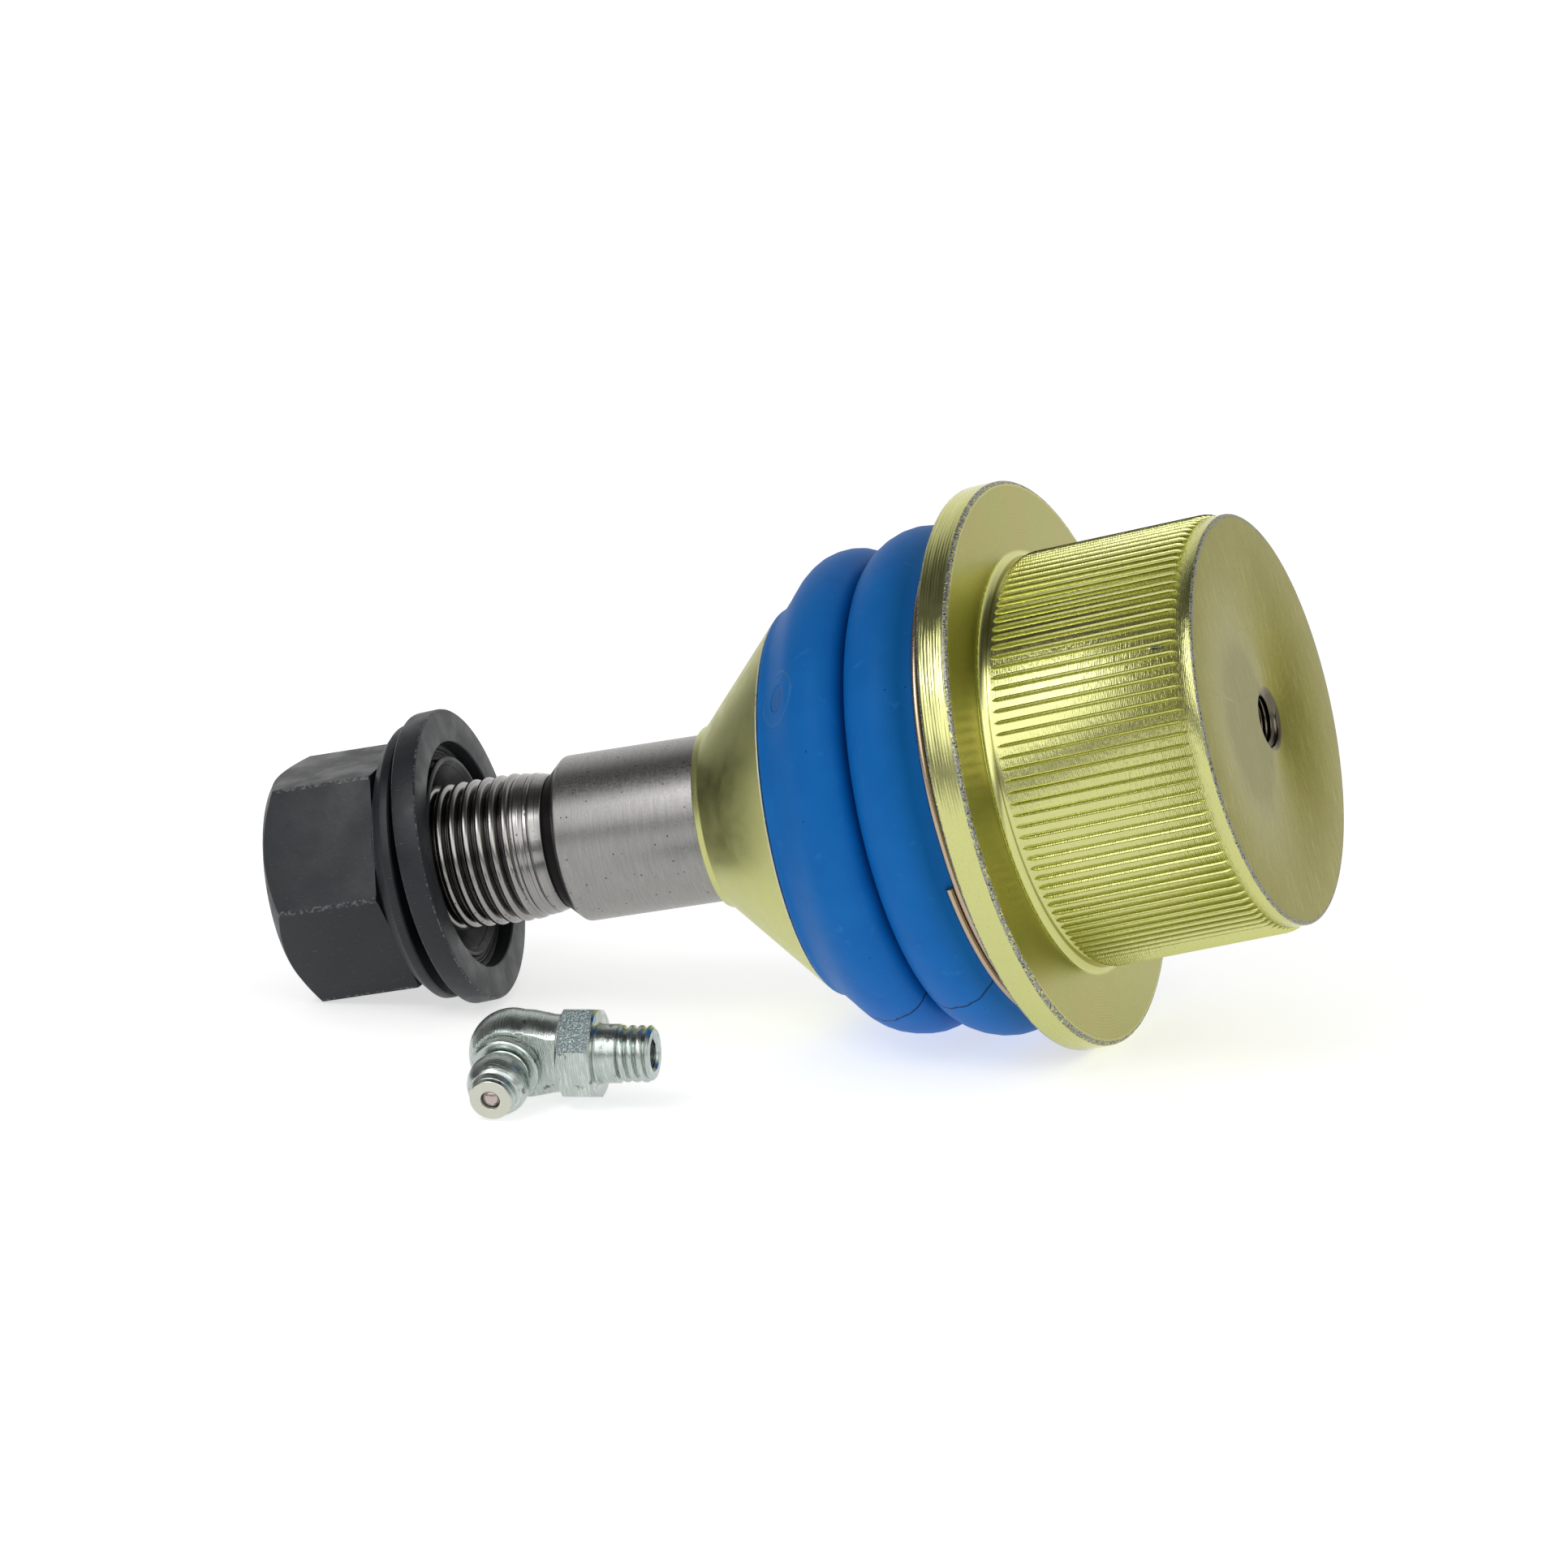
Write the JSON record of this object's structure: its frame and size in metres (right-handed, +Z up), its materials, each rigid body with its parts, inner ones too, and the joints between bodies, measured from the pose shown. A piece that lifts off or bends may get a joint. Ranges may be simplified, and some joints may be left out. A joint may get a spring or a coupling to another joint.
{
  "type": "suspension ball joint",
  "caption": "Press-in suspension ball joint with a flanged knurled housing, folded rubber boot, threaded stud with captive washer nut and a loose bent grease fitting.",
  "frame": {"origin": "middle of the whole object's footprint, on the table it lies on", "axes": "+Z up from the table, +X along the longest extent, from the nut towards the housing's closed end; +Y away from the loose grease fitting"},
  "size_m": [0.1156, 0.0783, 0.0593],
  "materials": {
    "yellow_zinc": "yellow zinc plating with turned rings, olive in the shade",
    "ground_steel": "ground steel",
    "bearing_steel": "greased sintered steel",
    "spring_steel": "oiled spring steel",
    "clip_wire": "yellow plated wire",
    "blue_rubber": "matt moulded rubber",
    "black_phosphate": "black phosphate, rubbed bright on the edges",
    "bright_zinc": "bright zinc plating"
  },
  "bodies": {
    "stud": {"ball_stud": "ground_steel"},
    "neck": {"neck_cup": "yellow_zinc", "boot_neck_ring": "spring_steel"},
    "boot_base": {"boot_clip_ring": "clip_wire", "boot": "blue_rubber"},
    "housing_unit": {"housing": "yellow_zinc", "lower_bearing_cup": "bearing_steel", "upper_bearing_ring": "bearing_steel", "closing_ring": "yellow_zinc", "spring_washer": "spring_steel"},
    "washer": {"captive_washer": "black_phosphate"},
    "nut": {"flange_nut": "black_phosphate"},
    "fitting": {"fitting_body": "bright_zinc", "fitting_head": "bright_zinc", "check_spring": "spring_steel"},
    "check": {"check_ball": "bright_zinc"}
  },
  "joints": [
    {"name": "neck_turn", "type": "hinge", "parent": "stud", "child": "neck", "pos_m": [0.02271, 0.00914, 0.02838], "axis": [0.9785, 0, 0.2062], "continuous": true},
    {"name": "stud_tilt", "type": "hinge", "parent": "neck", "child": "boot_base", "pos_m": [0.02271, 0.00914, 0.02838], "axis": [0.1615, -0.6214, -0.7666], "range_deg": [-28.03, 15.97], "deforming": ["boot"]},
    {"name": "housing_turn", "type": "hinge", "parent": "boot_base", "child": "housing_unit", "pos_m": [0.02271, 0.00914, 0.02838], "axis": [0.9596, -0.0823, 0.2689], "continuous": true},
    {"name": "nut_travel", "type": "slide", "parent": "stud", "child": "washer", "axis": [0.9785, 0, 0.2062], "range_m": [-0.0181, 0.0091]},
    {"name": "nut_turn", "type": "hinge", "parent": "washer", "child": "nut", "pos_m": [0.02271, 0.00914, 0.02838], "axis": [0.9785, 0, 0.2062], "range_deg": [-4320, 2160]},
    {"name": "fitting_lift", "type": "slide", "parent": "stud", "child": "fitting", "axis": [0, 0, 1], "range_m": [0, 0.05]},
    {"name": "check_ball_press", "type": "slide", "parent": "fitting", "child": "check", "axis": [-0.0153, 0.9659, 0.2584], "range_m": [0, 0.0008], "stiffness_N_per_m": 200, "springref_m": -0.0005, "deforming": ["check_spring"]}
  ],
  "couplings": [
    {"joint": "nut_travel", "follows": "nut_turn", "m_per_rad": 0.00023873}
  ]
}
